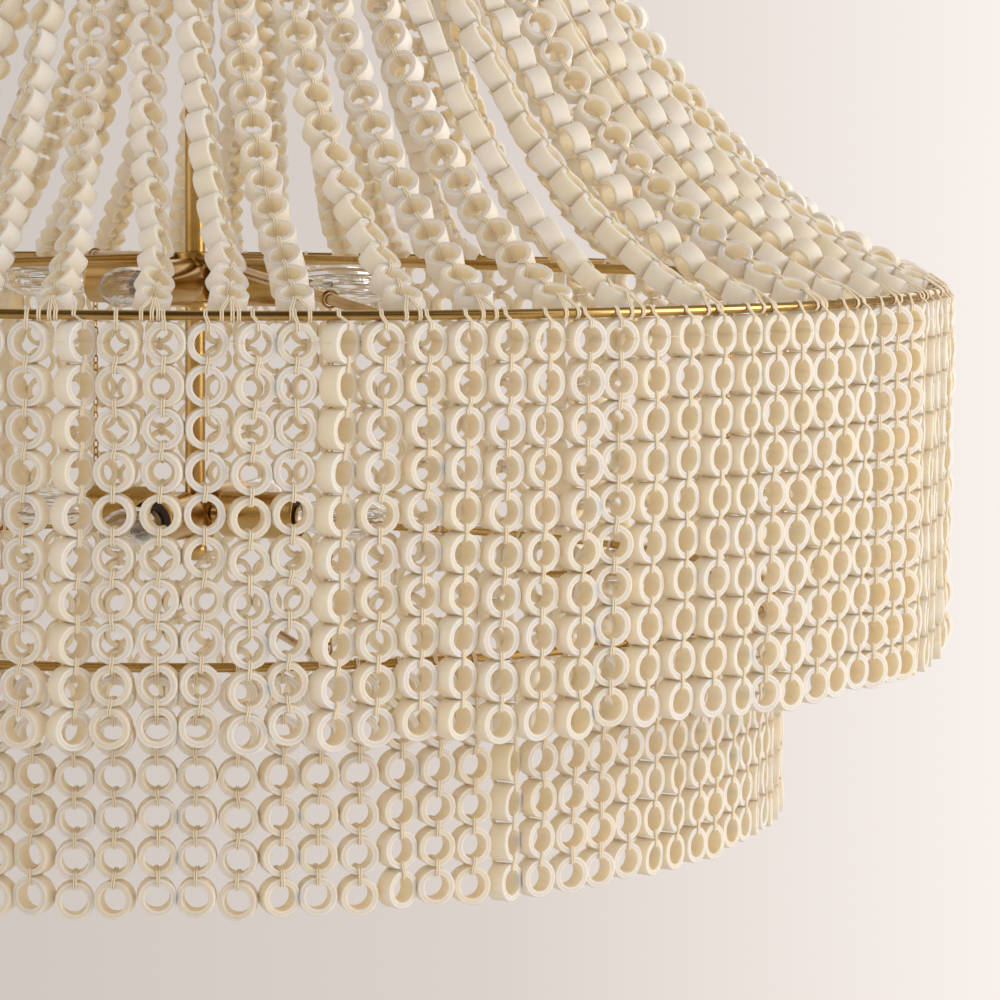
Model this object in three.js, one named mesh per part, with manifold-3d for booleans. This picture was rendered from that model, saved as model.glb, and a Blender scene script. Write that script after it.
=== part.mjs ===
// A two-tier chandelier: brass hoops on a central stem, dressed with strings of small pale rings.
// Millimetres, +Z up. The origin is the middle of the ceiling bracket's top face.
// Azimuths are in degrees from the front (-Y), turning towards +X.

import * as THREE from 'three';
import { mergeVertices } from 'three/addons/utils/BufferGeometryUtils.js';
import Module from 'manifold-3d';

const wasm = await Module();
wasm.setup();

// Clearances
const seatGap = 0.3;            // between pieces that touch on the real object
const chainGap = 0.5;           // round a rod, inside the chain ring that hangs on it
const tieGap = 0.9;             // between a hoop wire and the rings tied under it

// Rings and their strings
const ringOuter = 20;
const ringBore = 13.4;
const ringLength = 11;
const ringPitch = 21.4;
const stringGap = 2.9;          // clear space between neighbouring strings of a skirt
const lacingHeight = 7;         // at the head of a skirt or of the veil, where strings are laced
const upperRows = 10;
const lowerRows = 6;

// Main hoop and skirt
const hoopRadius = 457;
const hoopWire = 5;
const upperStringCount = 132;
const upperSections = 12;
const upperFirstAzimuth = -10.1;

// Lower hoop and skirt
const lowerHoopRadius = 358;
const lowerHoopWire = 5;
const tierDrop = 189;
const lowerStringCount = 105;
const lowerSections = 7;
const lowerFirstAzimuth = -13.4;
const armWire = 4.8;
const armLength = 140;

// Veil of ring strings between the crown hoop and the main hoop
const veilStringCount = 64;
const veilSections = 4;
const veilCurveRadius = 208;    // of the catenary, where it would level off
const veilReach = 59;           // from the hoop out to where the catenary would level off
const veilTail = 9;             // thread between the last ring and the middle of the hoop wire
const veilStartAzimuth = 1.9;   // from a main spoke to the string beside it

// Crown
const crownRadius = 146;
const crownWire = 5;
const crownSpokeCount = 4;
const crownSpokeWire = 5;
const crownHubRadius = 16;
const crownHubHeight = 14;
const crownDrop = 30;           // from the stem loop's collar down to the crown hoop

// Stem and main spokes
const stemDiameter = 12.5;
const spokeCount = 4;
const spokeDiameter = 6.2;
const spokeAzimuth = 11.6;
const spokeHubRadius = 12.7;
const spokeHubHeight = 7;
const spokeHubRise = 13.4;      // of the hub's middle above the main hoop

// Lamp clusters
const socketCount = 4;
const socketAzimuth = -23;
const socketDiameter = 29;
const socketInner = 19;         // from the stem's axis to the inner end of a cup
const socketOuter = 69;
const socketNeckDiameter = 10;
const socketRim = 1.6;          // wall of the cup at its mouth
const socketMouthDepth = 5;
const clusterBodyRadius = 11.75;
const clusterBodyHeight = 25;
const clusterBodyDrop = 3.2;    // of the body's middle below the sockets' axis
const upperClusterDrop = 1.3;   // of the sockets' axis below the main hoop
const lowerClusterDrop = 144;
const bulbBaseRadius = 6.5;
const bulbBaseLength = 22;
const bulbRadius = 12;
const bulbLength = 62;
const bulbShares = [[0.75, 0], [0.72, 0.08], [0.97, 0.25], [1, 0.6], [0.8, 0.83], [0.4, 0.96], [0, 1]];
const finialRadius = 7.5;
const finialNeckRadius = 4.5;
const finialNeckLength = 1;

// Chains
const chainInset = 8;           // from the lower hoop's wire in to the chains
const chainWidth = 4.4;
const chainRingWire = 1.6;

// Ceiling fitting
const bracketLength = 100;
const bracketWidth = 22;
const bracketThickness = 2.5;
const bracketHoleRadius = 2.6;
const bracketHoleInset = 9;
const canopyRadius = 65;
const canopyDepth = 26;
const canopySkirt = 8;
const canopyWall = 1.4;
const nippleRadius = 5;
const collarRadius = 11;
const collarHeight = 8;
const loopRadius = 14.5;
const loopWire = 5;
const loopSink = 2;             // how far a loop is let into its collar
const linkLength = 44;
const linkWidth = 19;
const stemCollarRadius = 9;
const stemCollarHeight = 14;

// Facets
const hoopFacets = 72;
const crownFacets = 40;
const loopFacets = 24;
const ringFacets = 8;
const wireSides = 6;
const spokeFacets = 10;
const bulbFacets = 12;
const roundFacets = 12;
const canopyFacets = 24;
const domeSteps = 4;
const finialSteps = 6;
const veilSteps = 5;
const veilOpenSteps = 2;        // the last ones, where the rings lie open

// Heights, from the ceiling down
const collarTop = -canopyDepth - seatGap;
const loopCentre = collarTop - collarHeight - loopRadius + loopSink;
const linkPivot = loopCentre - loopRadius;
const linkTop = linkPivot + loopWire + seatGap;
const stemPivot = linkTop - linkLength;
const stemLoopCentre = stemPivot + loopWire + seatGap - loopRadius;
const stemCollarTop = stemLoopCentre - loopRadius + loopSink;
const stemTop = stemCollarTop - stemCollarHeight - seatGap;
const crownPlane = stemTop - crownDrop;
const hoopPlane = crownPlane - veilHeight(crownRadius);
const lowerPlane = hoopPlane - tierDrop;
const upperAxis = hoopPlane - upperClusterDrop;
const lowerAxis = hoopPlane - lowerClusterDrop;
const stemBottom = lowerAxis - clusterBodyDrop - clusterBodyHeight / 2;

// Distances from the stem's axis, and a ring's wall
const stemBore = stemDiameter / 2 + seatGap;
const chainRadius = lowerHoopRadius - chainInset;
const ringWall = (ringOuter - ringBore) / 2;
const spokeStart = spokeHubRadius + seatGap;
const spokeEnd = hoopRadius - hoopWire / 2 - seatGap;

// Materials
const brass = { color: 0x8a6a35, roughness: 0.38, metalness: 1 };
const steel = { color: 0xb9bcc0, roughness: 0.5, metalness: 1 };
const ringSkin = { color: 0xefe6d6, roughness: 0.8, metalness: 0 };
const glass = { color: 0xf4f4f2, roughness: 0.05, metalness: 0, transparent: true, opacity: 0.35 };

const chandelier = new THREE.Group();

// Height of a veil string above the main hoop, at a distance from the stem's axis
function veilHeight(radius) {
  const level = hoopRadius + veilReach;
  const rise = Math.cosh((level - radius) / veilCurveRadius) - Math.cosh(veilReach / veilCurveRadius);
  return veilCurveRadius * rise;
}

// How steeply a veil string runs down and out, at a distance from the stem's axis
function veilSlope(radius) {
  return Math.atan(Math.sinh((hoopRadius + veilReach - radius) / veilCurveRadius));
}

function radians(degrees) {
  return THREE.MathUtils.degToRad(degrees);
}

function addPiece(name, geometry, look, parent = chandelier) {
  const mesh = new THREE.Mesh(geometry, new THREE.MeshStandardMaterial({ ...look }));
  mesh.name = name;
  parent.add(mesh);
  return mesh;
}

// A group whose -Y axis points out at the azimuth
function turned(azimuth) {
  const group = new THREE.Group();
  group.rotation.z = radians(azimuth);
  chandelier.add(group);
  return group;
}

function toSolid(geometry) {
  const bare = geometry.clone();
  bare.deleteAttribute('normal');
  bare.deleteAttribute('uv');
  const merged = mergeVertices(bare);
  const vertProperties = Float32Array.from(merged.attributes.position.array);
  const triVerts = Uint32Array.from(merged.index.array);
  return new wasm.Manifold(new wasm.Mesh({ numProp: 3, vertProperties, triVerts }));
}

function toGeometry(solid) {
  const mesh = solid.getMesh();
  const geometry = new THREE.BufferGeometry();
  geometry.setAttribute('position', new THREE.BufferAttribute(mesh.vertProperties, 3));
  geometry.setIndex(new THREE.BufferAttribute(mesh.triVerts, 1));
  return geometry;
}

function joined(geometries) {
  const solids = geometries.map(toSolid);
  return toGeometry(solids.reduce((sum, solid) => sum.add(solid)));
}

function cutFrom(geometry, tools) {
  const solids = tools.map(toSolid);
  return toGeometry(solids.reduce((rest, tool) => rest.subtract(tool), toSolid(geometry)));
}

// A turned piece about +Z. Each profile point is [radius, height].
function lathed(profile, facets = roundFacets) {
  const points = profile.map(([radius, height]) => new THREE.Vector2(radius, height));
  return new THREE.LatheGeometry(points, facets).rotateX(Math.PI / 2);
}

// A round rod between two points
function rod(start, end, diameter, facets = roundFacets) {
  const along = new THREE.Vector3().subVectors(end, start);
  const geometry = new THREE.CylinderGeometry(diameter / 2, diameter / 2, along.length(), facets);
  const turn = new THREE.Quaternion().setFromUnitVectors(THREE.Object3D.DEFAULT_UP, along.normalize());
  geometry.applyQuaternion(turn);
  const middle = new THREE.Vector3().addVectors(start, end).divideScalar(2);
  return geometry.translate(middle.x, middle.y, middle.z);
}

// A ring of wire in the XZ plane, round the origin
function wireRing(radius, wire, facets) {
  return new THREE.TorusGeometry(radius, wire / 2, wireSides, facets).rotateX(Math.PI / 2);
}

// A hoop of wire in the XY plane, round the origin. Its section has corners at top and bottom.
function wireHoop(radius, wire, facets) {
  const profile = [];
  for (let k = 0; k <= wireSides; k += 1) {
    const angle = Math.PI / 2 + ((k % wireSides) / wireSides) * 2 * Math.PI;
    profile.push([radius + (wire / 2) * Math.cos(angle), (wire / 2) * Math.sin(angle)]);
  }
  return lathed(profile, facets);
}

// Strings side by side, laced together between levels 0 and 1. From level openFrom down, each has an
// opening between levels for the bores of its rings. The function corner(string, edge, side, level)
// gives a place: edge is -1 at a string's left and 1 at its right, and side is -1 inside and 1
// outside.
function lacedStrings(strings, levels, openFrom, corner) {
  const corners = [];
  for (let string = 0; string < strings; string += 1) {
    for (const edge of [-1, 1]) {
      for (let level = 0; level <= levels; level += 1) {
        corners.push(...corner(string, edge, -1, level), ...corner(string, edge, 1, level));
      }
    }
  }
  const faces = [];
  const inner = (column, level) => 2 * ((levels + 1) * column + level);
  const outer = (column, level) => inner(column, level) + 1;
  const quad = (p, q, r, t) => faces.push(p, q, r, p, r, t);
  const walls = (column, level) => {
    const next = column + 1;
    const low = level + 1;
    quad(outer(column, low), outer(next, low), outer(next, level), outer(column, level));
    quad(inner(column, low), inner(column, level), inner(next, level), inner(next, low));
  };
  // The corners of an opening, a ring's wall in from the edges of a string's face
  const rim = (face, column, level) => {
    const ends = [face(column, level), face(column + 1, level), face(column, level + 1),
      face(column + 1, level + 1)].map((index) => new THREE.Vector3().fromArray(corners, index * 3));
    const across = ringWall / ends[0].distanceTo(ends[1]);
    const along = ringWall / ends[0].distanceTo(ends[2]);
    const places = [[across, 1 - along], [1 - across, 1 - along], [1 - across, along], [across, along]];
    return places.map(([u, v]) => {
      const high = ends[0].clone().lerp(ends[1], u);
      const low = ends[2].clone().lerp(ends[3], u);
      corners.push(...high.lerp(low, v).toArray());
      return corners.length / 3 - 1;
    });
  };
  const openWalls = (column, level) => {
    const [front, back] = [outer, inner].map((face) => {
      const low = [face(column, level + 1), face(column + 1, level + 1)];
      return { edge: [...low, face(column + 1, level), face(column, level)], hole: rim(face, column, level) };
    });
    for (let k = 0; k < 4; k += 1) {
      const next = (k + 1) % 4;
      quad(front.edge[k], front.edge[next], front.hole[next], front.hole[k]);
      quad(back.edge[next], back.edge[k], back.hole[k], back.hole[next]);
      quad(front.hole[k], front.hole[next], back.hole[next], back.hole[k]);
    }
  };
  const leftSide = (column, level) => {
    quad(inner(column, level + 1), outer(column, level + 1), outer(column, level), inner(column, level));
  };
  const rightSide = (column, level) => {
    quad(inner(column, level + 1), inner(column, level), outer(column, level), outer(column, level + 1));
  };
  const underside = (column, level) => {
    quad(inner(column, level), inner(column + 1, level), outer(column + 1, level), outer(column, level));
  };
  const last = 2 * strings - 1;
  for (let column = 0; column < last; column += 1) {
    walls(column, 0);
    quad(inner(column, 0), outer(column, 0), outer(column + 1, 0), inner(column + 1, 0));
  }
  for (let column = 1; column < last; column += 2) {
    underside(column, 1);
  }
  for (let column = 0; column < last; column += 2) {
    for (let level = 1; level < levels; level += 1) {
      (level < openFrom ? walls : openWalls)(column, level);
      leftSide(column, level);
      rightSide(column + 1, level);
    }
    underside(column, levels);
  }
  leftSide(0, 0);
  rightSide(last, 0);
  return bareGeometry(corners, faces);
}

// A section of skirt that hangs under a hoop at height 0, with openings along its strings or without
function skirtSection(radius, strings, sectionStrings, wire, rows, open) {
  const pitch = (2 * Math.PI * radius) / strings;
  const half = (pitch - stringGap) / 2;
  const top = -wire / 2 - tieGap;
  const heights = [top, top - lacingHeight, top - (rows - 1) * ringPitch - ringOuter];
  const levels = heights.length - 1;
  return lacedStrings(sectionStrings, levels, open ? 1 : levels, (string, edge, side, level) => {
    const angle = ((string - (sectionStrings - 1) / 2) * pitch + edge * half) / radius;
    const distance = radius + (side * ringLength) / 2;
    return [distance * Math.sin(angle), -distance * Math.cos(angle), heights[level]];
  });
}

// A section of the veil. Each string turns a quarter on its way, so its rings stand edge-on at the
// crown, where the strings crowd, and lie open at the hoop.
function veilSection(sectionStrings) {
  const headSlope = veilSlope(crownRadius);
  const start = crownRadius + (crownWire / 2 + seatGap) * Math.cos(headSlope);
  const end = hoopRadius - veilTail;
  const stations = [start];
  for (let i = 0; i <= veilSteps; i += 1) {
    const laced = start + lacingHeight * Math.cos(headSlope);
    stations.push(THREE.MathUtils.lerp(laced, end, i / veilSteps));
  }
  const turn = new THREE.Matrix4();
  const place = new THREE.Vector3();
  const levels = stations.length - 1;
  return lacedStrings(sectionStrings, levels, levels - veilOpenSteps, (string, edge, side, level) => {
    const radius = stations[level];
    const share = (radius - start) / (end - start);
    const slope = veilSlope(radius);
    const width = THREE.MathUtils.lerp(ringLength, ringOuter, share);
    const depth = (side * THREE.MathUtils.lerp(ringOuter, ringLength, share)) / 2;
    const height = hoopPlane + veilHeight(radius) + depth * Math.cos(slope);
    place.set((edge * width) / 2, -radius - depth * Math.sin(slope), height);
    turn.makeRotationZ(((string - (sectionStrings - 1) / 2) * 2 * Math.PI) / veilStringCount);
    return place.applyMatrix4(turn).toArray();
  });
}

function bareGeometry(corners, faces) {
  const geometry = new THREE.BufferGeometry();
  geometry.setAttribute('position', new THREE.Float32BufferAttribute(corners, 3));
  geometry.setIndex(faces);
  return geometry;
}

// Ceiling fitting

function ceilingBracket() {
  const bar = new THREE.BoxGeometry(bracketLength, bracketWidth, bracketThickness);
  const holes = [-1, 1].map((side) => {
    const hole = lathed(plugProfile(bracketHoleRadius, -bracketThickness, bracketThickness));
    return hole.translate(side * (bracketLength / 2 - bracketHoleInset), 0, 0);
  });
  return cutFrom(bar, holes).translate(0, 0, -bracketThickness / 2);
}

function plugProfile(radius, bottom, top) {
  return [[0, bottom], [radius, bottom], [radius, top], [0, top]];
}

function sleeveProfile(bore, radius, bottom, top) {
  return [[bore, bottom], [radius, bottom], [radius, top], [bore, top], [bore, bottom]];
}

// A dome from its rim down to the flat at its foot, drawn in by an inset
function domeProfile(inset) {
  const foot = collarRadius + canopyWall;
  const width = canopyRadius - foot - inset;
  const depth = canopyDepth - canopySkirt - inset;
  const points = [[canopyRadius - inset, 0]];
  for (let i = 0; i <= domeSteps; i += 1) {
    const angle = (i / domeSteps) * (Math.PI / 2);
    points.push([foot + width * Math.cos(angle), -canopySkirt - depth * Math.sin(angle)]);
  }
  return points;
}

function canopyShell() {
  const hole = nippleRadius + seatGap;
  const outside = domeProfile(0).reverse();
  const inside = domeProfile(canopyWall);
  const floor = [[hole, -canopyDepth + canopyWall], [hole, -canopyDepth]];
  return lathed([[hole, -canopyDepth], ...outside, ...inside, ...floor], canopyFacets);
}

function canopyLoop() {
  const collarBottom = collarTop - collarHeight;
  const nipple = lathed(plugProfile(nippleRadius, collarBottom, -bracketThickness - seatGap));
  const collar = lathed(plugProfile(collarRadius, collarBottom, collarTop));
  const ring = wireRing(loopRadius, loopWire, loopFacets).translate(0, 0, loopCentre);
  return joined([collar, nipple, ring]);
}

// An oval link in the YZ plane, with its top wire's middle at height 0
function ovalLink() {
  const bend = linkWidth / 2;
  const points = [];
  for (const [centre, start] of [[-bend, 0], [bend - linkLength, Math.PI]]) {
    for (let i = 0; i <= loopFacets / 2; i += 1) {
      const angle = start + (i / loopFacets) * 2 * Math.PI;
      points.push(new THREE.Vector3(0, bend * Math.cos(angle), centre + bend * Math.sin(angle)));
    }
  }
  return closedWire(points, loopWire);
}

// A wire of round section along a closed path in the YZ plane
function closedWire(points, wire) {
  const across = new THREE.Vector3(1, 0, 0);
  const corners = [];
  const faces = [];
  points.forEach((point, i) => {
    const before = points[(i + points.length - 1) % points.length];
    const after = points[(i + 1) % points.length];
    const along = new THREE.Vector3().subVectors(after, before).normalize();
    const out = new THREE.Vector3().crossVectors(along, across);
    for (let k = 0; k < wireSides; k += 1) {
      const angle = (k / wireSides) * 2 * Math.PI;
      const corner = point.clone();
      corner.addScaledVector(out, (wire / 2) * Math.cos(angle));
      corner.addScaledVector(across, (wire / 2) * Math.sin(angle));
      corners.push(...corner.toArray());
      const here = i * wireSides;
      const ahead = ((i + 1) % points.length) * wireSides;
      const next = (k + 1) % wireSides;
      faces.push(here + k, ahead + k, here + next);
      faces.push(here + next, ahead + k, ahead + next);
    }
  });
  return bareGeometry(corners, faces);
}

function stemLoop() {
  const collar = lathed(plugProfile(stemCollarRadius, stemCollarTop - stemCollarHeight, stemCollarTop));
  const ring = wireRing(loopRadius, loopWire, loopFacets).translate(0, 0, stemLoopCentre);
  return joined([collar, ring]);
}

// Frame

function stem() {
  return lathed(plugProfile(stemDiameter / 2, stemBottom, stemTop), canopyFacets);
}

function crownRing() {
  const top = crownHubHeight / 2;
  const hub = lathed(sleeveProfile(stemBore, crownHubRadius, -top, top), canopyFacets);
  const pieces = [hub, wireHoop(crownRadius, crownWire, crownFacets)];
  for (let i = 0; i < crownSpokeCount; i += 1) {
    const inner = new THREE.Vector3(0, -(stemBore + crownHubRadius) / 2, 0);
    const outer = new THREE.Vector3(0, -crownRadius, 0);
    const spoke = rod(inner, outer, crownSpokeWire, wireSides);
    pieces.push(spoke.rotateZ((i / crownSpokeCount) * 2 * Math.PI));
  }
  return joined(pieces).translate(0, 0, crownPlane);
}

function spokeHub() {
  const middle = hoopPlane + spokeHubRise;
  const half = spokeHubHeight / 2;
  return lathed(sleeveProfile(stemBore, spokeHubRadius, middle - half, middle + half), canopyFacets);
}

// Height of a main spoke's axis above the main hoop
function spokeHeight(radius) {
  return spokeHubRise * (spokeEnd - radius) / (spokeEnd - spokeStart);
}

function mainSpoke() {
  const inner = new THREE.Vector3(0, -spokeStart, hoopPlane + spokeHeight(spokeStart));
  const outer = new THREE.Vector3(0, -spokeEnd, hoopPlane + spokeHeight(spokeEnd));
  return rod(inner, outer, spokeDiameter, spokeFacets);
}

// A facet corner faces each spoke
function mainHoop() {
  const hoop = wireHoop(hoopRadius, hoopWire, hoopFacets).rotateZ(radians(spokeAzimuth));
  return hoop.translate(0, 0, hoopPlane);
}

function lowerHoop() {
  const pieces = [wireHoop(lowerHoopRadius, lowerHoopWire, hoopFacets)];
  for (let i = 0; i < spokeCount; i += 1) {
    const inner = new THREE.Vector3(0, armLength - lowerHoopRadius, 0);
    const outer = new THREE.Vector3(0, -lowerHoopRadius, 0);
    const arm = rod(inner, outer, armWire, wireSides);
    pieces.push(arm.rotateZ(radians(spokeAzimuth) + (i / spokeCount) * 2 * Math.PI));
  }
  return joined(pieces).translate(0, 0, lowerPlane);
}

// A chain at its outer width, with its end rings round a main spoke and an arm of the lower hoop
function chain() {
  const upperEnd = hoopPlane + spokeHeight(chainRadius);
  const upperRing = spokeDiameter / 2 + chainGap + chainRingWire / 2;
  const lowerRing = armWire / 2 + chainGap + chainRingWire / 2;
  const run = lathed(plugProfile(chainWidth / 2, lowerPlane + lowerRing, upperEnd - upperRing), wireSides);
  const head = wireRing(upperRing, chainRingWire, ringFacets).translate(0, 0, upperEnd);
  const foot = wireRing(lowerRing, chainRingWire, ringFacets).translate(0, 0, lowerPlane);
  return joined([run, head, foot]).translate(0, -chainRadius, 0);
}

// Lamp clusters

function clusterBody(axis) {
  const middle = axis - clusterBodyDrop;
  const half = clusterBodyHeight / 2;
  return lathed(sleeveProfile(stemBore, clusterBodyRadius, middle - half, middle + half));
}

// A socket cup on its neck, pointing out along -Y
function socket() {
  const neck = socketNeckDiameter / 2;
  const cup = socketDiameter / 2;
  const mouth = cup - socketRim;
  const recess = socketOuter - socketMouthDepth;
  const bore = bulbBaseRadius + seatGap;
  const floor = socketOuter - bulbBaseLength - seatGap;
  const start = clusterBodyRadius + seatGap;
  return lathed([[0, start], [neck, start], [neck, socketInner], [cup, socketInner],
    [cup, socketOuter], [mouth, socketOuter], [mouth, recess], [bore, recess],
    [bore, floor], [0, floor]]).rotateX(Math.PI / 2);
}

// A slim bulb with its base, pointing out along -Y
function bulb() {
  const start = socketOuter - bulbBaseLength;
  const profile = [[0, start], [bulbBaseRadius, start], [bulbBaseRadius, socketOuter + seatGap]];
  for (const [radiusShare, lengthShare] of bulbShares) {
    profile.push([radiusShare * bulbRadius, socketOuter + seatGap + lengthShare * bulbLength]);
  }
  return lathed(profile, bulbFacets).rotateX(Math.PI / 2);
}

function finial() {
  const top = stemBottom - seatGap;
  const reach = Math.asin(finialNeckRadius / finialRadius);
  const centre = top - finialNeckLength - finialRadius * Math.cos(reach);
  const profile = [];
  for (let i = 0; i <= finialSteps; i += 1) {
    const angle = (i / finialSteps) * (Math.PI - reach);
    profile.push([finialRadius * Math.sin(angle), centre - finialRadius * Math.cos(angle)]);
  }
  return lathed([...profile, [finialNeckRadius, top], [0, top]]);
}

// Assembly

addPiece('ceiling_bracket', ceilingBracket(), steel);
addPiece('canopy', canopyShell(), brass);
addPiece('canopy_loop', canopyLoop(), brass);
addPiece('hang_link', ovalLink().translate(0, 0, linkTop), brass);
addPiece('stem_loop', stemLoop(), brass);
addPiece('stem', stem(), brass);
addPiece('crown_ring', crownRing(), brass);
addPiece('spoke_hub', spokeHub(), brass);
addPiece('main_hoop', mainHoop(), brass);
addPiece('lower_hoop', lowerHoop(), brass);
addPiece('finial', finial(), brass);

for (let i = 0; i < spokeCount; i += 1) {
  const place = turned(spokeAzimuth + (i * 360) / spokeCount);
  addPiece(`main_spoke_${i + 1}`, mainSpoke(), brass, place);
  addPiece(`chain_${i + 1}`, chain(), brass, place);
}

for (const [level, axis] of [['upper', upperAxis], ['lower', lowerAxis]]) {
  addPiece(`${level}_cluster_body`, clusterBody(axis), brass);
  for (let i = 0; i < socketCount; i += 1) {
    const place = turned(socketAzimuth + (i * 360) / socketCount);
    place.position.z = axis;
    addPiece(`${level}_socket_${i + 1}`, socket(), brass, place);
    addPiece(`${level}_bulb_${i + 1}`, bulb(), glass, place);
  }
}

for (let i = 0; i < veilSections; i += 1) {
  const strings = veilStringCount / veilSections;
  const pitch = 360 / veilStringCount;
  const azimuth = spokeAzimuth + veilStartAzimuth + (i * strings + (strings - 1) / 2) * pitch;
  addPiece(`veil_${i + 1}`, veilSection(strings), ringSkin, turned(azimuth));
}

const skirts = [
  {
    name: 'upper_skirt', radius: hoopRadius, wire: hoopWire, plane: hoopPlane, rows: upperRows,
    strings: upperStringCount, sections: upperSections, first: upperFirstAzimuth, open: true,
  },
  {
    name: 'lower_skirt', radius: lowerHoopRadius, wire: lowerHoopWire, plane: lowerPlane, rows: lowerRows,
    strings: lowerStringCount, sections: lowerSections, first: lowerFirstAzimuth, open: false,
  },
];

for (const skirt of skirts) {
  const inSection = skirt.strings / skirt.sections;
  for (let i = 0; i < skirt.sections; i += 1) {
    const azimuth = skirt.first + (i * inSection + (inSection - 1) / 2) * (360 / skirt.strings);
    const place = turned(azimuth);
    place.position.z = skirt.plane;
    const section = skirtSection(skirt.radius, skirt.strings, inSection, skirt.wire, skirt.rows, skirt.open);
    addPiece(`${skirt.name}_${i + 1}`, section, ringSkin, place);
  }
}

export default chandelier;
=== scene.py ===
"""Looks of a two-tier chandelier: brass hoops on a stem, dressed with strings of small pale rings.

Lengths are in millimetres and go to metres when a mesh is made. Azimuths are in degrees from the
front (-Y), turning towards +X.
"""
import itertools
import math

import bpy
import numpy as np
from mathutils import Matrix, Vector


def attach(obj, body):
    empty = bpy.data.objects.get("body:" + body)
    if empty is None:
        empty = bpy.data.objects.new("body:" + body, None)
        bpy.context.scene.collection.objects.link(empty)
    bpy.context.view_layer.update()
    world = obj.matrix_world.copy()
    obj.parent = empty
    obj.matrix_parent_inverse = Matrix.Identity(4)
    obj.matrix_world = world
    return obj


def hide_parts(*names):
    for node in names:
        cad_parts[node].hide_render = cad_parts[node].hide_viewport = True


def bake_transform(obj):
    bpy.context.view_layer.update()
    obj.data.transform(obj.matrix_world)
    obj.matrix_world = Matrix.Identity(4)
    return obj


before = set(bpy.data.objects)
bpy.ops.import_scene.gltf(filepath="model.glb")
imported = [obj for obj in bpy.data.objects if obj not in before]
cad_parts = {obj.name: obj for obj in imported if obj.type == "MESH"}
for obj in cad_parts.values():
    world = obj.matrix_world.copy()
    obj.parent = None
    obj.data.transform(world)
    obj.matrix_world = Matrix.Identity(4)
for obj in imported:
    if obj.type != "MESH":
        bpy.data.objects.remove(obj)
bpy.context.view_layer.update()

MM = 0.001                      # in metres
UP = np.array([0.0, 0.0, 1.0])
TURN = 2 * math.pi

# Sizes shared with the solids
HOOP_R, HOOP_WIRE, HOOP_Z = 457.0, 2.5, -583.128
LOWER_R, LOWER_WIRE, LOWER_Z = 358.0, 2.5, -772.128
CROWN_R, CROWN_WIRE, CROWN_Z = 146.0, 2.5, -166.0
STEM_R, STEM_TOP, STEM_BOTTOM = 6.25, -136.0, -742.828
SPOKE_R, SPOKE_START, SPOKE_END, SPOKE_RISE, SPOKE_AZ = 3.1, 13.0, 454.2, 13.4, 11.6
ARM_R, ARM_LENGTH = 2.4, 140.0
SOCKET_AZ, UPPER_AXIS, LOWER_AXIS = -23.0, HOOP_Z - 1.3, HOOP_Z - 144.0
CHAIN_R = 350.0                 # from the stem's axis out to the chains
SEAT = 0.3                      # clearance round the stem and at its ends
RING_LENGTH, RING_PITCH = 11.0, 21.4
VEIL_CURVE = 208.0              # of the catenary that a veil string follows
VEIL_REACH = 59.0               # from the hoop out to where it would level off
VEIL_LEVEL = HOOP_R + VEIL_REACH

# Sizes of the looks alone: the solids take 10.0 and 6.7 for the rings of skirts and veil
RING_OUTER, RING_BORE = 10.45, 6.9
VEIL_OUTER, VEIL_BORE = 9.7, 6.55
STRAND = 0.58                   # radius of a strand of thread

# A skirt: azimuth of its first string, gap from the wire's middle to the first ring's, how far each
# ring lies aside from the one above, how far rings turn about their string on the whole, and the
# strings whose rings hang turned further, by string number and degrees
UPPER = dict(name="upper_skirt", hoop_body="frame", radius=HOOP_R, z=HOOP_Z, wire=HOOP_WIRE, count=132,
             sections=12, first=-10.1, rows=10, pitch=RING_PITCH, gap=13.4, lean=-0.5, swing=13.0,
             laced=True, string_seed=11, look_seed=22,
             turns={1: 52, 7: 46, 24: -30, 25: -34, 26: -30, 40: 48, 57: -50, 76: 44, 93: 50,
                    110: -46, 121: 40})
LOWER = dict(name="lower_skirt", hoop_body="tier", radius=LOWER_R, z=LOWER_Z, wire=LOWER_WIRE, count=105,
             sections=7, first=-13.4, rows=6, pitch=21.72, gap=14.2, lean=-0.2, swing=9.0,
             laced=False, string_seed=12, look_seed=26,
             turns={12: 38, 33: -42, 51: 40, 70: -38, 88: 42})

VEIL_COUNT, VEIL_SECTIONS, VEIL_FIRST = 64, 4, 13.5
VEIL_END = 448.0                # from the stem's axis out to the end of a string's last ring
VEIL_LEAN = 4.8                 # degrees that a string's head stands behind its foot
# Front strings, by string number: azimuth at the hoop, and how far their rings turn from lying open
# half way up the string and near the hoop
VEIL_HAND = {-5: (-14.6, -34, -40), -4: (-9.05, 20, -48), -3: (-2.77, 30, 62), -2: (2.14, 48, 54),
             -1: (6.46, -8, -12), 0: (13.57, -10, 30), 1: (18.62, -22, -22), 2: (24.42, -40, -32),
             3: (29.38, 48, 50), 4: (35.89, 22, 26), 5: (41.09, 58, 60), 6: (46.89, -36, -30),
             7: (52.11, 20, 24), 8: (58.37, 48, 48), 9: (64.78, 28, 30), 10: (71.8, -24, -20)}
VEIL_SIZES = {-4: 0.94, -3: 0.95, -1: 1.015, 0: 1.02, 1: 1.025, 2: 1.03, 3: 1.02}


def out_of(az):
    a = math.radians(az)
    return np.array([math.sin(a), -math.cos(a), 0.0])


def along_of(az):
    a = math.radians(az)
    return np.array([math.cos(a), math.sin(a), 0.0])


def at(az, r, z):
    return tuple(out_of(az) * r + UP * z)


def quarters(first):
    """Four azimuths a quarter turn apart."""
    return [first + 90 * i for i in range(4)]


def clamped(value):
    return min(1.0, max(0.0, value))


def unit(vector):
    return vector / np.linalg.norm(vector)


def turns(count, offset=0.0):
    """Angles all the way round, in even steps."""
    return [TURN * (i + offset) / count for i in range(count)]


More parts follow.
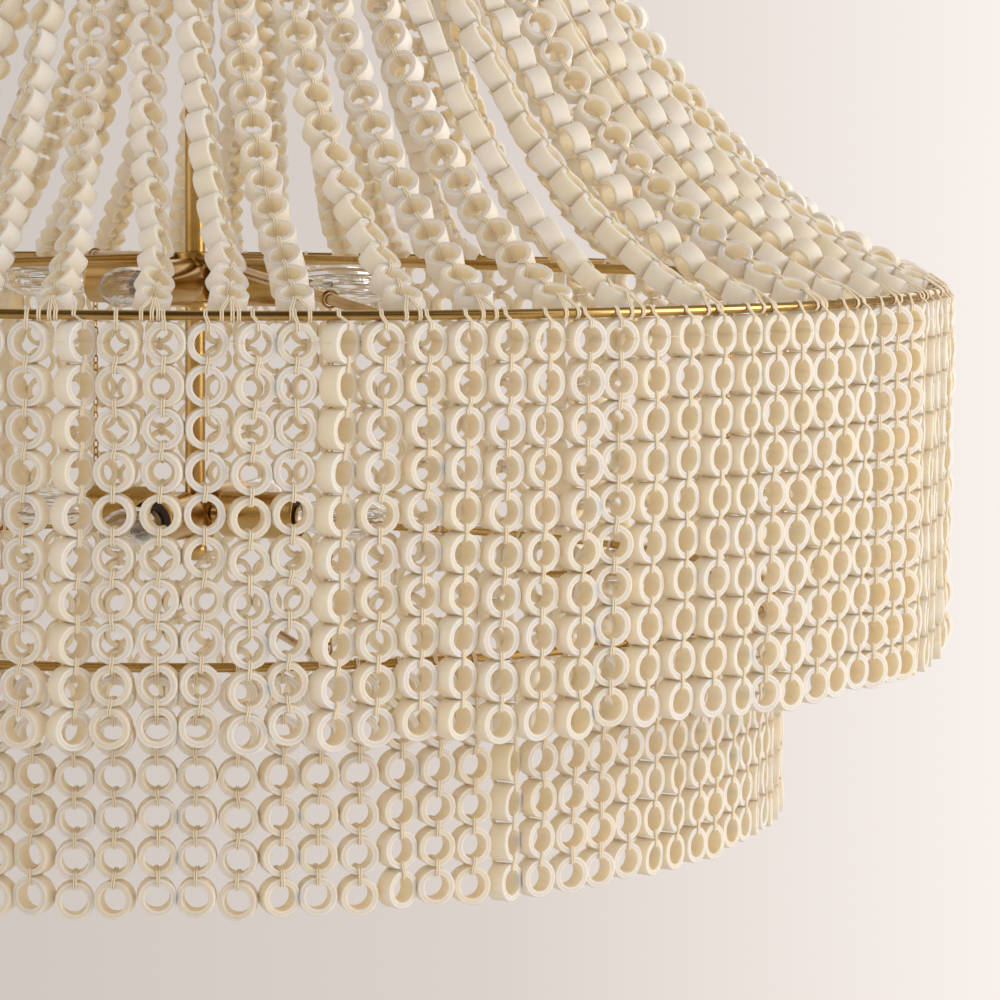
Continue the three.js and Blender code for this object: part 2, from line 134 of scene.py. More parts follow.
def veil_height(r):
    """Height of a veil string above the main hoop, at a distance from the stem's axis."""
    return VEIL_CURVE * (math.cosh((VEIL_LEVEL - r) / VEIL_CURVE) - math.cosh(VEIL_REACH / VEIL_CURVE))


def veil_arc(r):
    """Length along a veil string from where it would level off."""
    return VEIL_CURVE * math.sinh((VEIL_LEVEL - r) / VEIL_CURVE)


def veil_radius(arc):
    return VEIL_LEVEL - VEIL_CURVE * math.asinh(arc / VEIL_CURVE)


def veil_slope(r):
    return math.atan(math.sinh((VEIL_LEVEL - r) / VEIL_CURVE))


def spoke_height(r):
    """Height of a main spoke above the main hoop."""
    return SPOKE_RISE * (SPOKE_END - r) / (SPOKE_END - SPOKE_START)


# Materials

class Nodes:
    """A node tree. Its calls add a node and give back the output to link on."""

    def __init__(self, tree):
        self.tree = tree

    def link(self, output, socket):
        self.tree.links.new(output, socket)

    def node(self, kind, **inputs):
        node = self.tree.nodes.new("ShaderNode" + kind)
        self.fill(node, inputs)
        return node

    def fill(self, node, inputs):
        for key, value in inputs.items():
            node.inputs[key.replace("_", " ")].default_value = value

    def feed(self, socket, value):
        """Puts a number, a colour or an output on a socket."""
        if isinstance(value, (int, float)):
            socket.default_value = value
        elif isinstance(value, tuple):
            socket.default_value = (*value, 1.0)
        else:
            self.link(value, socket)

    def ramp(self, source, *stops):
        node = self.node("ValToRGB")
        elements = node.color_ramp.elements
        while len(elements) < len(stops):
            elements.new(0.5)
        for element, (place, colour) in zip(elements, stops):
            element.position = place
            if isinstance(colour, (int, float)):
                colour = (colour,) * 3
            element.color = (*colour, 1.0)
        self.link(source, node.inputs["Fac"])
        return node.outputs["Color"]

    def mix(self, share, first, second, kind="MIX"):
        node = self.node("Mix")
        node.data_type = "RGBA"
        node.blend_type = kind
        for index, value in ((0, share), (6, first), (7, second)):
            self.feed(node.inputs[index], value)
        return node.outputs[2]

    def math(self, kind, first, second):
        node = self.node("Math")
        node.operation = kind
        for socket, value in zip(node.inputs, (first, second)):
            self.feed(socket, value)
        return node.outputs[0]


class Material(Nodes):
    """A Principled material of noises over the object's own coordinates."""

    def __init__(self, name):
        self.material = bpy.data.materials.new(name)
        self.material.use_nodes = True
        super().__init__(self.material.node_tree)
        self.shader = self.tree.nodes["Principled BSDF"]
        self.coords = self.node("TexCoord").outputs["Object"]

    def set(self, **inputs):
        self.fill(self.shader, inputs)

    def surface(self, colour, roughness=None):
        self.link(colour, self.shader.inputs["Base Color"])
        if roughness:
            self.link(roughness, self.shader.inputs["Roughness"])

    def noise(self, scale, detail=3.0, rough=0.5, coords=None, stretch=None):
        node = self.node("TexNoise", Scale=scale, Detail=detail, Roughness=rough)
        source = coords or self.coords
        if stretch:
            mapping = self.node("Mapping", Scale=stretch)
            self.link(source, mapping.inputs["Vector"])
            source = mapping.outputs["Vector"]
        self.link(source, node.inputs["Vector"])
        return node.outputs["Fac"]

    def attribute(self, name, output="Fac"):
        node = self.node("Attribute")
        node.attribute_name = name
        return node.outputs[output]

    def tinted(self, colour, tint, source, start, end, most):
        """Mixes a tint in where the source rises from start to end."""
        return self.mix(self.ramp(source, (start, 0.0), (end, most)), colour, tint)

    def shared(self, first, share, second):
        """A weighted sum of two outputs."""
        first, second = self.math("MULTIPLY", first, share), self.math("MULTIPLY", second, 1 - share)
        return self.math("ADD", first, second)

    def bump(self, height, strength, distance):
        node = self.node("Bump", Strength=strength, Distance=distance)
        self.link(height, node.inputs["Height"])
        self.link(node.outputs["Normal"], self.shader.inputs["Normal"])


def brass_material(name):
    dark, mid, light = (0.48, 0.295, 0.08), (0.60, 0.40, 0.15), (0.69, 0.485, 0.225)
    m = Material(name)
    patina = m.noise(24.0, 4.0, 0.5)
    fine = m.noise(420.0, 4.0, 0.6)
    colour = m.ramp(patina, (0.30, dark), (0.50, mid), (0.72, light))
    colour = m.tinted(colour, dark, fine, 0.45, 0.85, 0.22)
    m.surface(colour, m.ramp(m.shared(patina, 0.5, fine), (0.3, 0.15), (0.7, 0.27)))
    m.set(Metallic=1.0)
    m.bump(fine, 0.08, 0.0001)
    return m.material


def ring_material(name, face, rim_highlight):
    """Whitewashed on the end that faces out; painted shade in warm tan on the walls, in the bore and on
    the end that faces in, and a lighter rim_highlight colour for painted highlights on edges.
    """
    m = Material(name)
    grain = m.attribute("grain", "Vector")
    tone = m.attribute("tone")
    painted_light = m.attribute("painted_light")
    cloud = m.noise(0.16, 4.0, 0.6, grain)
    speck = m.noise(1.6, 3.0, 0.6, grain)
    streak = m.noise(0.55, 3.0, 0.6, grain, (1.0, 1.0, 0.16))
    speckled_painted_light = m.math("ADD", painted_light, m.math("MULTIPLY", m.math("SUBTRACT", speck, 0.5), 0.22))
    # From the whitewashed face through the rim's painted highlight to the warm tan of painted shade on the
    # walls, in the bore and on the inward end
    colour = m.ramp(speckled_painted_light, (0.0, face), (0.16, rim_highlight), (0.32, (0.93, 0.875, 0.815)),
                    (0.60, (0.955, 0.855, 0.735)), (1.0, (0.99, 0.81, 0.60)))
    colour = m.tinted(colour, (0.92, 0.87, 0.77), cloud, 0.35, 0.7, 0.3)
    colour = m.tinted(colour, (0.88, 0.75, 0.54), streak, 0.5, 0.75, 0.22)
    colour = m.tinted(colour, (0.90, 0.775, 0.56), tone, 0.0, 1.0, 0.45)
    colour = m.tinted(colour, (0.76, 0.64, 0.46), speck, 0.62, 0.8, 0.12)
    m.surface(colour, m.ramp(speck, (0.3, 0.62), (0.7, 0.85)))
    m.set(Subsurface_Weight=0.75, Subsurface_Scale=0.008, Subsurface_Radius=(1.0, 0.68, 0.42))
    m.bump(m.shared(speck, 0.6, cloud), 0.25, 0.0003)
    return m.material


def thread_material(name):
    m = Material(name)
    fibre = m.noise(2600.0, 2.0, 0.6)
    cloud = m.noise(90.0, 3.0, 0.6)
    twist = m.node("TexWave", Scale=420.0, Distortion=1.5)
    twist.bands_direction = "DIAGONAL"
    m.link(m.coords, twist.inputs["Vector"])
    colour = m.ramp(fibre, (0.3, (0.95, 0.80, 0.55)), (0.7, (0.99, 0.90, 0.70)))
    colour = m.tinted(colour, (0.92, 0.74, 0.44), cloud, 0.35, 0.75, 0.35)
    colour = m.mix(m.math("MULTIPLY", m.attribute("knot"), 0.9), colour, (0.98, 0.76, 0.36))
    m.surface(colour)
    m.set(Roughness=0.85, Sheen_Weight=0.3, Sheen_Roughness=0.5)
    m.bump(m.shared(twist.outputs["Fac"], 0.6, fibre), 0.5, 0.0002)
    return m.material


def glass_material(name):
    m = Material(name)
    film = m.noise(60.0, 3.0, 0.5)
    m.surface(m.ramp(film, (0.35, (0.95, 0.955, 0.95)), (0.7, 1.0)), m.ramp(film, (0.4, 0.0), (0.8, 0.05)))
    m.set(Transmission_Weight=1.0, IOR=1.45)
    m.bump(m.noise(45.0, 2.0, 0.5), 0.15, 0.0006)
    return m.material


def clouded_material(name, scale, low, high, rough, rise=0.15, detail=5.0, relief=0.15, metallic=1.0):
    """A noise takes its colour from low to high, and its roughness up by `rise`."""
    m = Material(name)
    cloud = m.noise(scale, detail, 0.6)
    m.surface(m.ramp(cloud, (0.3, low), (0.7, high)), m.ramp(cloud, (0.3, rough), (0.7, rough + rise)))
    m.set(Metallic=metallic)
    m.bump(cloud, relief, 0.0002)
    return m.material


# Finishes: a material and the record's slot that it stands for
BRASS = brass_material("antique_brass"), "brass"
RINGS = ring_material("whitewashed_ring_painted_light", (0.75, 0.70, 0.66), (0.79, 0.735, 0.685)), "rings"
# The veil's rings: the whitewashed ring's colours made darker, painted shade
VEIL_RINGS_PAINTED_SHADE = ring_material("veil_ring_painted_shade", (0.64, 0.615, 0.58), (0.70, 0.67, 0.63)), "rings"
THREAD = thread_material("cotton_thread"), "thread"
GLASS = glass_material("bulb_glass"), "bulb_glass"
STEEL = clouded_material("zinced_steel", 60.0, (0.42, 0.43, 0.44), (0.62, 0.62, 0.61), 0.35), "steel"
WIRE = clouded_material("lamp_wire", 300.0, (0.45, 0.43, 0.40), (0.62, 0.59, 0.55), 0.25), "steel"
INSERT = clouded_material("lampholder_insert", 110.0, (0.045, 0.036, 0.028), (0.09, 0.07, 0.05), 0.35,
                          rise=0.2, detail=4.0, relief=0.2, metallic=0.0), "brass"


# Meshes

def placed(name, data):
    obj = bpy.data.objects.new(name, data)
    bpy.context.scene.collection.objects.link(obj)
    return obj


def finish_object(name, mesh, finish):
    material, slot = finish
    mesh.materials.append(material)
    obj = placed(name, mesh)
    return obj


def mesh_from(name, verts, quads, normals, floats, vectors=None):
    """A smooth mesh of quads only, from arrays in millimetres."""
    mesh = bpy.data.meshes.new(name)
    mesh.vertices.add(len(verts))
    mesh.vertices.foreach_set("co", (verts * MM).astype(np.float32).ravel())
    mesh.loops.add(quads.size)
    mesh.loops.foreach_set("vertex_index", quads.astype(np.int32).ravel())
    mesh.polygons.add(len(quads))
    mesh.polygons.foreach_set("loop_start", np.arange(0, quads.size, 4, dtype=np.int32))
    mesh.polygons.foreach_set("use_smooth", np.ones(len(quads), dtype=bool))
    mesh.update(calc_edges=True)
    for key, values in floats.items():
        mesh.attributes.new(key, "FLOAT", "POINT").data.foreach_set("value", values.astype(np.float32))
    for key, values in (vectors or {}).items():
        attribute = mesh.attributes.new(key, "FLOAT_VECTOR", "POINT")
        attribute.data.foreach_set("vector", values.astype(np.float32).ravel())
    mesh.normals_split_custom_set_from_vertices(normals.astype(np.float32))
    return mesh


def bands(rows, across, closed=True, base=0):
    """Quads between rows of points that each go round. `closed` joins the last row to the first."""
    quads = []
    for i in range(rows if closed else rows - 1):
        here, there = base + i * across, base + (i + 1) % rows * across
        for j in range(across):
            ahead = (j + 1) % across
            quads.append((here + j, here + ahead, there + ahead, there + j))
    return quads


def copied(quads, count, size):
    """The quads of one template, for each of its copies."""
    return (quads[None] + (np.arange(count) * size)[:, None, None]).reshape(-1, 4)


class Frames:
    """Places on the strings: a centre and three directions, side, up (along the string) and axis."""

    def __init__(self, rows, sizes=1.0):
        self.rows = np.array(rows, float)
        self.sizes = np.ones(len(rows)) * sizes

    def pick(self, keep):
        return Frames(self.rows[keep], self.sizes[keep])

    def place(self, points):
        return self.rows[:, None, 0] + self.turn(points) * self.sizes[:, None, None]

    def turn(self, points):
        side, up, axis = (self.rows[:, None, i] for i in (1, 2, 3))
        x, y, z = points.T[..., None]
        return side * x + up * y + axis * z


# Parts of a string, for frames_of
EVERY, HEAD, FOOT = slice(None), slice(0, 1), slice(-1, None)
BUT_LAST, BUT_FIRST = slice(None, -1), slice(1, None)


def frames_of(strings, sizes, part):
    """Frames of the rings in a part of each string. Each string has its own size."""
    rows = [row for string in strings for row in string[part]]
    return Frames(rows, np.repeat(sizes, [len(string[part]) for string in strings]))


def turned_frame(centre, up, out, twist, tilt):
    """A ring's directions: its axis starts at `out`, and turns about the string by twist degrees."""
    a = math.radians(twist)
    axis = math.cos(a) * out + math.sin(a) * np.cross(up, out) + up * math.sin(math.radians(tilt))
    axis = unit(axis)
    side = unit(np.cross(up, axis))
    return centre, side, np.cross(axis, side), axis


# Rings

RING_SEGMENTS = 20


def ring_template(outer, bore, back_wall_shade, front_wall_shade, rim_highlight):
    """Points, normals, quads and painted light levels of one ring. Its outer wall has its own painted
    shade at the back and at the front, the bore and the back end have more, and rim_highlight adds a
    lighter band, a painted highlight, on the edges of its front face."""
    half, edge, inner_edge = RING_LENGTH / 2, 0.55, 0.45
    profile = [(outer, edge - half), (outer, half - edge), (outer - edge, half), (bore + inner_edge, half),
               (bore, half - inner_edge), (bore, inner_edge - half), (bore + inner_edge, -half),
               (outer - edge, -half)]
    facing = [(1, 0), (1, 0), (0, 1), (0, 1), (-1, 0), (-1, 0), (0, -1), (0, -1)]
    # Painted shade: warm tan on the outer wall, deepest in the bore towards the back and on the back end;
    # the front end stays whitewashed
    painted_light_levels = [back_wall_shade, front_wall_shade, 0.08, 0.08, 0.62, 1.0, 0.9, 0.9]
    # Painted highlight: a lighter band along the outer and inner edges of the front face
    if rim_highlight:
        profile[3:3] = [(outer - 1.35, half), (bore + 1.2, half)]
        facing[3:3] = [(0, 1), (0, 1)]
        painted_light_levels[2:4] = [0.50, 0.04, 0.04, 0.45]
    points, normals, painted_light = [], [], []
    for (r, h), (out, ahead), value in zip(profile, facing, painted_light_levels):
        for a in turns(RING_SEGMENTS):
            points.append((r * math.cos(a), r * math.sin(a), h))
            normals.append((out * math.cos(a), out * math.sin(a), ahead))
            painted_light.append(value)
    quads = bands(len(profile), RING_SEGMENTS)
    return np.array(points), np.array(normals), np.array(quads), np.array(painted_light)


SKIRT_RING = ring_template(RING_OUTER, RING_BORE, 0.80, 0.46, rim_highlight=True)
VEIL_RING = ring_template(VEIL_OUTER, VEIL_BORE, 0.28, 0.42, rim_highlight=False)
ring_draws = np.random.RandomState(20)


def add_rings(name, ring, frames, draws, finish, body, node):
    """One ring at each frame. Its grain, a shift of its painted light levels and its tone are drawn, and
    most tones are light.
    """
    points, facing, faces, painted_light_levels = ring
    count, size = len(frames.sizes), len(points)
    tones = draws.uniform(0, 1, count) ** 1.6
    shift = ring_draws.uniform(-400, 400, (count, 1, 3))
    grain = (points[None] + shift).reshape(-1, 3)
    painted_light = np.clip(painted_light_levels[None] + ring_draws.uniform(-0.06, 0.10, (count, 1)), 0, 1).ravel()
    mesh = mesh_from(name, frames.place(points).reshape(-1, 3), copied(faces, count, size),
                     frames.turn(facing).reshape(-1, 3),
                     {"tone": np.repeat(tones, size), "painted_light": painted_light}, {"grain": grain})
    rings = finish_object(name, mesh, finish)
    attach(rings, body)
    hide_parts(node)


# Threads

def round_lump():
    """A cube of 26 points and 24 quads, blown up to a sphere."""
    index = {}
    for corner in itertools.product((-1, 0, 1), repeat=3):
        if any(corner):
            index[corner] = len(index)
    quads = []
    for axis, sign, u, v in itertools.product(range(3), (-1, 1), (-1, 0), (-1, 0)):
        quad = []
        for du, dv in ((0, 0), (1, 0), (1, 1), (0, 1)):
            corner = [0, 0, 0]
            corner[axis], corner[(axis + 1) % 3], corner[(axis + 2) % 3] = sign, u + du, v + dv
            quad.append(index[tuple(corner)])
        quads.append(quad if sign > 0 else quad[::-1])
    points = np.array(list(index), float)
    return points / np.linalg.norm(points, axis=1)[:, None], quads


LUMP_POINTS, LUMP_QUADS = round_lump()
STRAND_SIDES = 4


class Template:
    """Threads that run between two places. Points are in the first place's own directions, the
    second place lies at `step` from it, and each point holds to the second place by its weight."""

    def __init__(self, step):
        self.step = np.array(step, float)
        self.points, self.weights, self.normals, self.quads, self.knot = [], [], [], [], []

    def add(self, points, weights, normals, quads, knot=0.0):
        base = len(self.points)
        self.points += [tuple(p) for p in points]
        self.weights += list(weights)
        self.normals += [tuple(n) for n in normals]
        self.quads += [tuple(base + i for i in quad) for quad in quads]
        self.knot += [knot] * len(points)

    def loop(self, path, radius, side, offset=0.0):
        """A closed strand. path is a list of (weight, point), side the direction across it."""
        spots = np.array([p for _, p in path], float)
        side = np.array(side, float)
        points, weights, normals = [], [], []
        for i, (weight, _) in enumerate(path):
            tangent = unit(spots[(i + 1) % len(spots)] - spots[i - 1])
            out = unit(np.cross(tangent, side))
            for a in turns(STRAND_SIDES, 0.5):
                normal = math.cos(a) * out + math.sin(a) * side
                points.append(spots[i] + side * offset + normal * radius)
                normals.append(normal)
                weights.append(weight)
        quads = [(p, s, r, q) for p, q, r, s in bands(len(path), STRAND_SIDES)]
        self.add(points, weights, normals, quads)

    def doubled(self, path):
        """Two strands side by side."""
        for offset in (-STRAND, STRAND):
            self.loop(path, STRAND, (1, 0, 0), offset)

    def lump(self, centre, size, weight, knot=1.0):
        points = np.array(centre) + LUMP_POINTS * np.array(size)
        self.add(points, [weight] * len(points), LUMP_POINTS, LUMP_QUADS, knot)

    def tail(self, start, end, radius, weight):
        """A knot's loose end, square and thinner at its tip."""
        start, end = np.array(start, float), np.array(end, float)
        along = unit(end - start)
        a = unit(np.cross(along, (0.31, 0.87, 0.38)))
        b = np.cross(along, a)
        points, normals = [], []
        for spot, r in ((start, radius), (end, radius * 0.7)):
            for x, y in ((-1, -1), (1, -1), (1, 1), (-1, 1)):
                points.append(spot + (a * x + b * y) * r * 0.7)
                normals.append((a * x + b * y) / math.sqrt(2))
        quads = [(3, 2, 1, 0), (4, 5, 6, 7), (0, 1, 5, 4), (1, 2, 6, 5), (2, 3, 7, 6), (3, 0, 4, 7)]
        self.add(points, [weight] * len(points), normals, quads, 0.4)

    def spread(self, first, second):
        """A copy of the threads from each of the first frames to the second one beside it."""
        points, normals = np.array(self.points), np.array(self.normals)
        weight = np.array(self.weights)[None, :, None]
        verts = (1 - weight) * first.place(points) + weight * second.place(points - self.step)
        turned = (1 - weight) * first.turn(normals) + weight * second.turn(normals)
        turned /= np.maximum(np.linalg.norm(turned, axis=2, keepdims=True), 1e-9)
        count = len(first.sizes)
        quads = copied(np.array(self.quads), count, len(points))
        return verts.reshape(-1, 3), turned.reshape(-1, 3), quads, np.tile(self.knot, count)


def spread_mixed(templates, draws, first, second):
    """Threads between the frames, each with a template that is drawn for it."""
    choice = draws.randint(0, len(templates), len(first.sizes))
    return [template.spread(first.pick(choice == i), second.pick(choice == i))
            for i, template in enumerate(templates) if (choice == i).any()]


def add_threads(name, parts):
    verts, normals, quads, knots = zip(*parts)
    starts = np.cumsum([0] + [len(v) for v in verts])
    quads = [q + start for q, start in zip(quads, starts)]
    mesh = mesh_from(name, np.concatenate(verts), np.concatenate(quads), np.concatenate(normals),
                     {"knot": np.concatenate(knots)})
    return finish_object(name, mesh, THREAD)


# A strand's way round a ring's wall: out of both faces, and over the lip of the bore
FACE, LIP = RING_LENGTH / 2 + 0.55, RING_BORE - STRAND
RING_WALL = [(FACE, -8.6), (FACE - 0.15, -LIP - 0.3), (FACE - 0.75, -LIP), (0.75 - FACE, -LIP),
             (0.15 - FACE, -LIP - 0.3), (-FACE, -8.6)]
TOP_WALL = [(-FACE - 0.05, 9.7), (-FACE, 8.2), (0.15 - FACE, LIP + 0.3), (0.75 - FACE, LIP),
            (FACE - 0.75, LIP), (FACE - 0.15, LIP + 0.3), (FACE, 8.2), (FACE + 0.05, 9.7)]


def junction_template(turn):
    """Two strands round the walls of two rings that touch, with a knot and its loose ends behind."""
    t = Template((0, -RING_PITCH, 0))
    upper = [(0, (0.0, u, a)) for a, u in RING_WALL]
    lower = [(1, (0.0, -RING_PITCH - u, a)) for a, u in RING_WALL]
    t.doubled(upper + lower[::-1])
    middle = -RING_PITCH / 2
    t.lump((0.15, middle, -FACE - 0.6), (1.6, 1.35, 1.0), 0.5)
    for between in (25, 180):
        a = math.radians(turn + between)
        end = (3.0 * math.cos(a), middle + 3.0 * math.sin(a), -FACE - 1.5)
        t.tail((0.0, middle, -FACE - 0.7), end, 0.36, 0.5)
    return t


JUNCTIONS = [junction_template(turn) for turn in (-20, 35, 80, 120)]


def junctions(strings, sizes, draws):
    above, below = frames_of(strings, sizes, BUT_LAST), frames_of(strings, sizes, BUT_FIRST)
    return spread_mixed(JUNCTIONS, draws, above, below)


def hoop_tie_template(clear, gap, slant):
    """A string's head: over the wire and through the first ring."""
    t = Template((0, -gap, 0))
    bend = 0.71 * clear
    over = [(0, (slant, 0.0, clear)), (0, (slant, bend, bend)), (0, (slant, clear, 0.0)),
            (0, (slant, bend, -bend)), (0, (slant, 0.0, -clear))]
    under = [(1, (0.0, u - gap, a)) for a, u in TOP_WALL]
    t.doubled((over + under)[::-1])
    t.lump((0.2, -4.0, -FACE - 0.4), (1.3, 1.1, 0.9), 0.8)
    t.tail((0.2, -4.0, -FACE - 0.5), (2.0, -5.6, -FACE - 1.2), 0.33, 0.8)
    return t


def lacing_template(pitch):
    """A thin thread round the facing walls of two neighbouring rings."""
    t = Template((pitch, 0, 0))
    wall, face, height = RING_BORE - 0.25, RING_LENGTH / 2 + 0.22, 0.4
    left = [(wall + 1.7, face), (wall, face - 0.3), (wall, 0.3 - face), (wall + 1.7, -face)]
    path = [(0, (x, height, z)) for x, z in left] + [(1, (pitch - x, height, z)) for x, z in left[::-1]]
    t.loop(path[::-1], 0.24, (0, 1, 0))
    return t


def veil_tie_template(length, apart, loops):
    """From the last ring of a veil string out to the hoop and round under its wire, where its loops
    lie further apart."""
    t = Template((0, -length, 0))
    clear = HOOP_WIRE + STRAND
    for place in loops:
        ring = [(0, (place * 0.9, u, a)) for a, u in RING_WALL]
        wire = []
        for a in (math.radians(degrees) for degrees in (0, 45, 90, 135, 180)):
            wire.append((1, (place * apart, -length - clear * math.sin(a), -clear * math.cos(a))))
        t.doubled(ring + wire)
    t.lump((0.0, -length - 1.4, -clear - 0.6), (1.6, 1.2, 1.0), 1.0, 0.8)
    return t


# Skirts

def smooth_noise(count, waves, seed):
    draws = np.random.RandomState(seed)
    x = np.arange(count) / count * TURN
    total = np.zeros(count)
    for wave in waves:
        total += draws.uniform(0.5, 1.0) * np.sin(wave * x + draws.uniform(0, TURN))
    return total / math.sqrt(len(waves))


def skirt_strings(skirt):
    """The azimuth of every string and the frames of its rings."""
    draws = np.random.RandomState(skirt["string_seed"])
    slow = smooth_noise(skirt["count"], (3, 7, 13, 22), skirt["string_seed"])
    azimuths, strings = [], []
    for k in range(skirt["count"]):
        az = skirt["first"] + k * 360.0 / skirt["count"] + draws.uniform(-0.12, 0.12)
        twist = skirt["turns"].get(k, skirt["swing"] * slow[k] + draws.uniform(-6, 6))
        pitch = skirt["pitch"] + draws.uniform(-0.38, 0.22)
        radial = skirt["radius"] + draws.uniform(-0.7, 0.7)
        drift = draws.uniform(-16, 16)
        sway, phase = draws.uniform(0.1, 0.6), draws.uniform(0, 6.28)
        out, along = out_of(az), along_of(az)
        rows = []
        for row in range(skirt["rows"]):
            share = row / (skirt["rows"] - 1)
            ring_twist = twist * (1 - 0.25 * share) + drift * share + draws.uniform(-5, 5)
            aside = sway * math.sin(phase + row * 0.7) + draws.uniform(-0.3, 0.3) + skirt["lean"] * row
            centre = out * (radial + draws.uniform(-0.35, 0.35)) + along * aside
            centre = centre + UP * (skirt["z"] - skirt["gap"] - row * pitch)
            rows.append(turned_frame(centre, UP, out, ring_twist, draws.uniform(-3, 3)))
        azimuths.append(az)
        strings.append(rows)
    return azimuths, strings


def add_skirt(skirt):
    """Rings, threads and head ties of each section. The ties stretch from the hoop to the section."""
    name, radius, z = skirt["name"], skirt["radius"], skirt["z"]
    azimuths, strings = skirt_strings(skirt)
    draws = np.random.RandomState(skirt["look_seed"])
    per = skirt["count"] // skirt["sections"]
    sizes = np.ones(per)
    ties = [hoop_tie_template(skirt["wire"] + STRAND, skirt["gap"], slant) for slant in (-0.4, -1.1, -1.8)]
    lace = lacing_template(TURN * radius / skirt["count"])
    for section in range(skirt["sections"]):
        number, start = section + 1, section * per
        body, own = f"{name}_{number}", strings[start:start + per]
        heads = frames_of(own, sizes, HEAD)
        places = frames_of(own, sizes, EVERY)
        add_rings(f"{name}_rings_{number}", SKIRT_RING, places, draws, RINGS, body, body)
        parts = junctions(own, sizes, draws)
        if skirt["laced"]:
            parts.append(lace.spread(heads.pick(BUT_LAST), heads.pick(BUT_FIRST)))
        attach(add_threads(f"{name}_threads_{number}", parts), body)
        wire = Frames([(out_of(az) * radius + UP * z, along_of(az), UP, out_of(az))
                       for az in azimuths[start:start + per]])
        head_ties = add_threads(f"{name}_ties_{number}", spread_mixed(ties, draws, wire, heads))
        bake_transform(head_ties)


# Veil

def veil_place(az, radius, height):
    """A place on the veil: its side, the way up along the string, and the way out of the veil."""
    slope, out = veil_slope(radius), out_of(az)
    up = -out * math.cos(slope) + UP * math.sin(slope)
    axis = out * math.sin(slope) + UP * math.cos(slope)
    return out * radius + UP * height, np.cross(up, axis), up, axis


def crown_azimuth(k):
    return VEIL_FIRST + k * 360.0 / VEIL_COUNT - VEIL_LEAN


def veil_string(k, draws, top, bottom):
    """A string's azimuth at the hoop, its size and the frames of its rings. They crowd edge-on below
    the crown, turn open further down, and settle flatter near the hoop."""
    number = k if k < VEIL_COUNT - 10 else k - VEIL_COUNT
    crown_az = crown_azimuth(k)
    hoop_az, open_turn = crown_az + VEIL_LEAN + draws.uniform(-0.8, 0.8), draws.uniform(-35, 35)
    if draws.uniform() < 0.35:
        open_turn = draws.choice((-1, 1)) * draws.uniform(58, 88)
    last_turn = open_turn
    size = VEIL_SIZES.get(number, draws.uniform(0.945, 1.03))
    wander, phase = draws.uniform(6, 16), draws.uniform(0, 6.28)
    if number in VEIL_HAND:
        hoop_az, open_turn, last_turn = VEIL_HAND[number]
        wander = 4.0
    while hoop_az - crown_az < -180:
        hoop_az += 360
    crowded_turn = 86 if open_turn >= 0 else -86
    outer = VEIL_OUTER * size
    length = top - bottom - 2 * outer
    count = round(length / (outer * 2.12)) + 1
    pitch = length / (count - 1)
    rows = []
    for i in range(count):
        radius = veil_radius(top - outer - i * pitch)
        share = (radius - CROWN_R) / (HOOP_R - CROWN_R)
        az = crown_az + (hoop_az - crown_az) * min(1.0, share * 1.25)
        crowd = clamped((232.0 - radius) / 62.0)
        flat = clamped((radius - 396.0) / 44.0)
        low = clamped((radius - 260.0) / 150.0)
        turn = open_turn + (last_turn - open_turn) * low
        twist = turn * (1 - 0.8 * flat) * (1 - crowd) + crowded_turn * crowd
        twist += wander * math.sin(phase + i * 0.45) * (1 - crowd) + draws.uniform(-7, 7) * (1 - crowd)
        centre, _, up, normal = veil_place(az, radius, HOOP_Z + veil_height(radius))
        centre = centre + along_of(az) * draws.uniform(-0.3, 0.3)
        rows.append(turned_frame(centre, up, normal, twist, draws.uniform(-3, 3)))
    return hoop_az, size, rows


def add_veil():
    draws = np.random.RandomState(77)
    top, bottom = veil_arc(CROWN_R) - CROWN_WIRE - SEAT, veil_arc(VEIL_END)
    tail = bottom - veil_arc(HOOP_R) + VEIL_OUTER
    ties = [veil_tie_template(tail, apart, loops)
            for apart, loops in ((3.6, (-1, 1)), (4.6, (-1, 1)), (4.2, (-1, 0.25, 1)))]
    crown_tie = hoop_tie_template(CROWN_WIRE + STRAND, CROWN_WIRE + SEAT + VEIL_OUTER, 0.0)
    per = VEIL_COUNT // VEIL_SECTIONS
    for section in range(VEIL_SECTIONS):
        name = section + 1
        own = range(section * per, (section + 1) * per)
        azimuths, sizes, strings = zip(*[veil_string(k, draws, top, bottom) for k in own])
        add_rings(f"veil_rings_{name}", VEIL_RING, frames_of(strings, sizes, EVERY), draws, VEIL_RINGS_PAINTED_SHADE,
                  "frame", f"veil_{name}")
        parts = junctions(strings, sizes, draws)
        hoop = Frames([veil_place(az, HOOP_R, HOOP_Z) for az in azimuths])
        parts += spread_mixed(ties, draws, frames_of(strings, sizes, FOOT), hoop)
        crown = Frames([veil_place(crown_azimuth(k), CROWN_R, CROWN_Z) for k in own])
        parts.append(crown_tie.spread(crown, frames_of(strings, sizes, HEAD)))
        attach(add_threads(f"veil_threads_{name}", parts), "frame")


# Turned and bent parts

def eased(profile, radius, steps=3):
    """Rounds the corners of an open profile."""
    result = [profile[0]]
    for before, here, after in zip(profile, profile[1:], profile[2:]):
        a, p, b = (np.array(v, float) for v in (before, here, after))
        la, lb = np.linalg.norm(a - p), np.linalg.norm(b - p)
        cut = min(radius, la * 0.45, lb * 0.45)
        start, end = p + (a - p) / la * cut, p + (b - p) / lb * cut
        for i in range(steps + 1):
            t = i / steps
            result.append(tuple((1 - t) ** 2 * start + 2 * t * (1 - t) * p + t * t * end))
    result.append(profile[-1])
    return result


